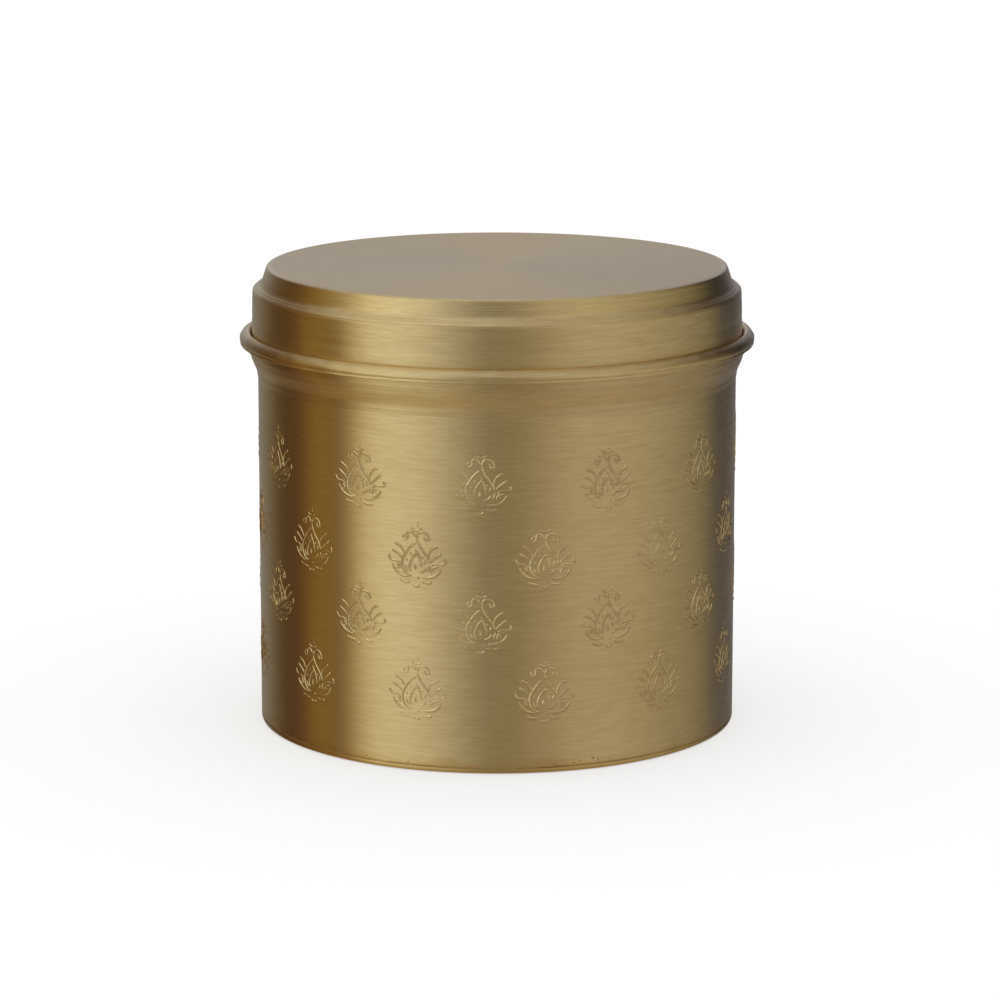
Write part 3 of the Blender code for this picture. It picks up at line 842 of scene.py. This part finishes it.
def studio_world():
    """A soft studio round the object, as seen in the metal, level by level; everything else sees plain white."""
    world = bpy.data.worlds.new("studio")
    bpy.context.scene.world = world
    world.use_nodes = True
    tree = world.node_tree
    nt, ln = tree.nodes, tree.links
    nt.clear()

    def node(kind, **values):
        n = nt.new(kind)
        for k, v in values.items():
            setattr(n, k, v)
        return n

    def maths(op, a, b=None, c=None):
        n = node("ShaderNodeMath", operation=op)
        for i, v in enumerate((a, b, c)):
            if v is None:
                continue
            if hasattr(v, "is_output"):
                ln.new(v, n.inputs[i])
            else:
                n.inputs[i].default_value = v
        return n.outputs[0]

    coord = node("ShaderNodeTexCoord").outputs["Generated"]
    sep = node("ShaderNodeSeparateXYZ")
    ln.new(coord, sep.inputs[0])
    x, y, z = sep.outputs
    # azimuth: 0 towards the front (-Y), positive to the right, in degrees
    az = maths("MULTIPLY", maths("ARCTAN2", x, maths("MULTIPLY", y, -1.0)), 180 / math.pi)
    turn = maths("MULTIPLY_ADD", az, 1 / 360.0, 0.5)

    def around(stops):
        ramp = node("ShaderNodeValToRGB")
        ln.new(turn, ramp.inputs[0])
        cr = ramp.color_ramp
        cr.interpolation = "LINEAR"
        while len(cr.elements) > 1:
            cr.elements.remove(cr.elements[-1])
        for i, (a, c) in enumerate(stops):
            e = cr.elements[0] if i == 0 else cr.elements.new(0.5 + a / 360.0)
            e.position = 0.5 + a / 360.0
            e.color = (*c, 1.0)
        return ramp.outputs[0]

    # one ramp for each level, blended evenly from each level to the next
    colour = around(SKY[0][1])
    for (below, _), (above, stops) in zip(SKY, SKY[1:]):
        f = node("ShaderNodeMapRange")
        ln.new(z, f.inputs["Value"])
        f.inputs["From Min"].default_value = below
        f.inputs["From Max"].default_value = above
        m = node("ShaderNodeMix", data_type="RGBA")
        ln.new(f.outputs[0], m.inputs["Factor"])
        ln.new(colour, m.inputs["A"])
        ln.new(around(stops), m.inputs["B"])
        colour = m.outputs["Result"]
    metal = node("ShaderNodeBackground")
    ln.new(colour, metal.inputs["Color"])
    metal.inputs["Strength"].default_value = 1.0
    paper = node("ShaderNodeBackground")
    paper.inputs["Color"].default_value = (1, 1, 1, 1)
    paper.inputs["Strength"].default_value = 1.05
    path = node("ShaderNodeLightPath")
    mix = node("ShaderNodeMixShader")
    ln.new(path.outputs["Is Glossy Ray"], mix.inputs[0])
    ln.new(paper.outputs[0], mix.inputs[1])
    ln.new(metal.outputs[0], mix.inputs[2])
    out = node("ShaderNodeOutputWorld")
    ln.new(mix.outputs[0], out.inputs[0])


# Light in the studio round the object, level by level: the sine of the elevation, then the colour
# by azimuth in degrees, 0 in front and positive to the right.
SKY = [
    (
        -0.75,
        [
            (-180, (0.33, 0.24, 0.16)),
            (-150, (0.32, 0.21, 0.13)),
            (-120, (0.34, 0.21, 0.11)),
            (-90, (0.42, 0.31, 0.16)),
            (-60, (0.49, 0.41, 0.26)),
            (-30, (0.41, 0.35, 0.24)),
            (0, (0.32, 0.26, 0.20)),
            (30, (0.35, 0.29, 0.22)),
            (60, (0.40, 0.34, 0.25)),
            (90, (0.39, 0.33, 0.25)),
            (120, (0.36, 0.30, 0.22)),
            (150, (0.34, 0.26, 0.19)),
            (180, (0.33, 0.24, 0.16)),
        ],
    ),
    (
        -0.35,
        [
            (-180, (0.23, 0.21, 0.21)),
            (-168, (0.24, 0.22, 0.21)),
            (-156, (0.24, 0.22, 0.20)),
            (-144, (0.21, 0.19, 0.16)),
            (-132, (0.10, 0.06, 0.04)),
            (-120, (0.01, 0.01, 0.01)),
            (-108, (0.07, 0.01, 0.01)),
            (-98, (0.16, 0.09, 0.01)),
            (-88, (0.06, 0.01, 0.01)),
            (-80, (0.05, 0.01, 0.01)),
            (-74, (0.29, 0.24, 0.16)),
            (-68, (0.54, 0.52, 0.43)),
            (-60, (0.67, 0.69, 0.64)),
            (-48, (0.68, 0.70, 0.71)),
            (-34, (0.58, 0.59, 0.57)),
            (-20, (0.44, 0.42, 0.40)),
            (-6, (0.26, 0.25, 0.22)),
            (8, (0.26, 0.24, 0.20)),
            (24, (0.30, 0.27, 0.26)),
            (40, (0.41, 0.38, 0.39)),
            (58, (0.41, 0.37, 0.37)),
            (76, (0.33, 0.30, 0.29)),
            (94, (0.25, 0.24, 0.23)),
            (112, (0.25, 0.23, 0.22)),
            (130, (0.18, 0.17, 0.18)),
            (148, (0.17, 0.17, 0.19)),
            (164, (0.20, 0.19, 0.20)),
            (180, (0.23, 0.21, 0.21)),
        ],
    ),
    (
        -0.05,
        [
            (-180, (0.28, 0.28, 0.31)),
            (-168, (0.28, 0.28, 0.29)),
            (-156, (0.22, 0.22, 0.23)),
            (-144, (0.16, 0.15, 0.14)),
            (-132, (0.11, 0.07, 0.03)),
            (-120, (0.07, 0.04, 0.01)),
            (-108, (0.12, 0.05, 0.01)),
            (-98, (0.28, 0.18, 0.04)),
            (-88, (0.27, 0.17, 0.01)),
            (-80, (0.19, 0.09, 0.01)),
            (-74, (0.36, 0.26, 0.14)),
            (-68, (0.63, 0.58, 0.45)),
            (-60, (0.81, 0.81, 0.76)),
            (-48, (0.84, 0.86, 0.88)),
            (-34, (0.76, 0.77, 0.77)),
            (-20, (0.52, 0.52, 0.49)),
            (-6, (0.28, 0.28, 0.22)),
            (8, (0.28, 0.27, 0.18)),
            (24, (0.43, 0.41, 0.34)),
            (40, (0.54, 0.53, 0.50)),
            (58, (0.57, 0.55, 0.53)),
            (76, (0.53, 0.51, 0.46)),
            (94, (0.42, 0.42, 0.36)),
            (112, (0.28, 0.27, 0.22)),
            (130, (0.03, 0.03, 0.04)),
            (148, (0.04, 0.04, 0.06)),
            (164, (0.15, 0.15, 0.18)),
            (180, (0.28, 0.28, 0.31)),
        ],
    ),
    (
        0.2,
        [
            (-180, (0.53, 0.55, 0.68)),
            (-168, (0.46, 0.47, 0.53)),
            (-156, (0.24, 0.24, 0.28)),
            (-144, (0.12, 0.10, 0.11)),
            (-132, (0.09, 0.05, 0.02)),
            (-120, (0.12, 0.06, 0.01)),
            (-108, (0.19, 0.11, 0.01)),
            (-98, (0.25, 0.16, 0.01)),
            (-88, (0.30, 0.22, 0.06)),
            (-80, (0.40, 0.32, 0.17)),
            (-74, (0.58, 0.52, 0.37)),
            (-68, (0.78, 0.74, 0.60)),
            (-60, (0.90, 0.89, 0.81)),
            (-48, (0.90, 0.91, 0.88)),
            (-34, (0.74, 0.75, 0.73)),
            (-20, (0.42, 0.43, 0.40)),
            (-6, (0.16, 0.16, 0.12)),
            (8, (0.21, 0.18, 0.12)),
            (24, (0.43, 0.39, 0.31)),
            (40, (0.54, 0.52, 0.44)),
            (58, (0.53, 0.50, 0.42)),
            (76, (0.46, 0.43, 0.34)),
            (94, (0.33, 0.31, 0.23)),
            (112, (0.17, 0.15, 0.10)),
            (130, (0.01, 0.01, 0.01)),
            (148, (0.01, 0.01, 0.01)),
            (164, (0.14, 0.15, 0.24)),
            (180, (0.53, 0.55, 0.68)),
        ],
    ),
    (
        0.5,
        [
            (-180, (0.39, 0.42, 0.55)),
            (-160, (0.27, 0.25, 0.28)),
            (-140, (0.09, 0.03, 0.01)),
            (-120, (0.12, 0.05, 0.01)),
            (-100, (0.27, 0.20, 0.10)),
            (-84, (0.56, 0.52, 0.41)),
            (-72, (0.86, 0.84, 0.74)),
            (-58, (0.98, 0.99, 0.95)),
            (-40, (0.82, 0.83, 0.83)),
            (-20, (0.38, 0.38, 0.39)),
            (0, (0.20, 0.18, 0.17)),
            (20, (0.45, 0.41, 0.35)),
            (40, (0.59, 0.55, 0.48)),
            (60, (0.46, 0.43, 0.35)),
            (80, (0.29, 0.27, 0.19)),
            (100, (0.14, 0.12, 0.05)),
            (125, (0.04, 0.01, 0.01)),
            (150, (0.02, 0.01, 0.01)),
            (180, (0.39, 0.42, 0.55)),
        ],
    ),
    (
        0.85,
        [
            (-180, (0.60, 0.59, 0.61)),
            (-135, (0.70, 0.70, 0.71)),
            (-90, (0.76, 0.77, 0.78)),
            (-45, (0.63, 0.65, 0.69)),
            (0, (0.48, 0.48, 0.52)),
            (45, (0.52, 0.51, 0.51)),
            (90, (0.45, 0.43, 0.42)),
            (135, (0.46, 0.45, 0.45)),
            (180, (0.60, 0.59, 0.61)),
        ],
    ),
]
studio_world()

scene = bpy.context.scene
scene.view_settings.view_transform = "Standard"
scene.view_settings.look = "None"

cam_data = bpy.data.cameras.new("camera")
cam_data.lens = 148.84
cam_data.sensor_width = 36.0
cam_data.shift_x = 0.003
camera = link(bpy.data.objects.new("camera", cam_data))
camera.location = (0.0, -1.2807, 0.3350)
camera.rotation_euler = (math.radians(90 - 11.73), 0.0, 0.0)
scene.camera = camera
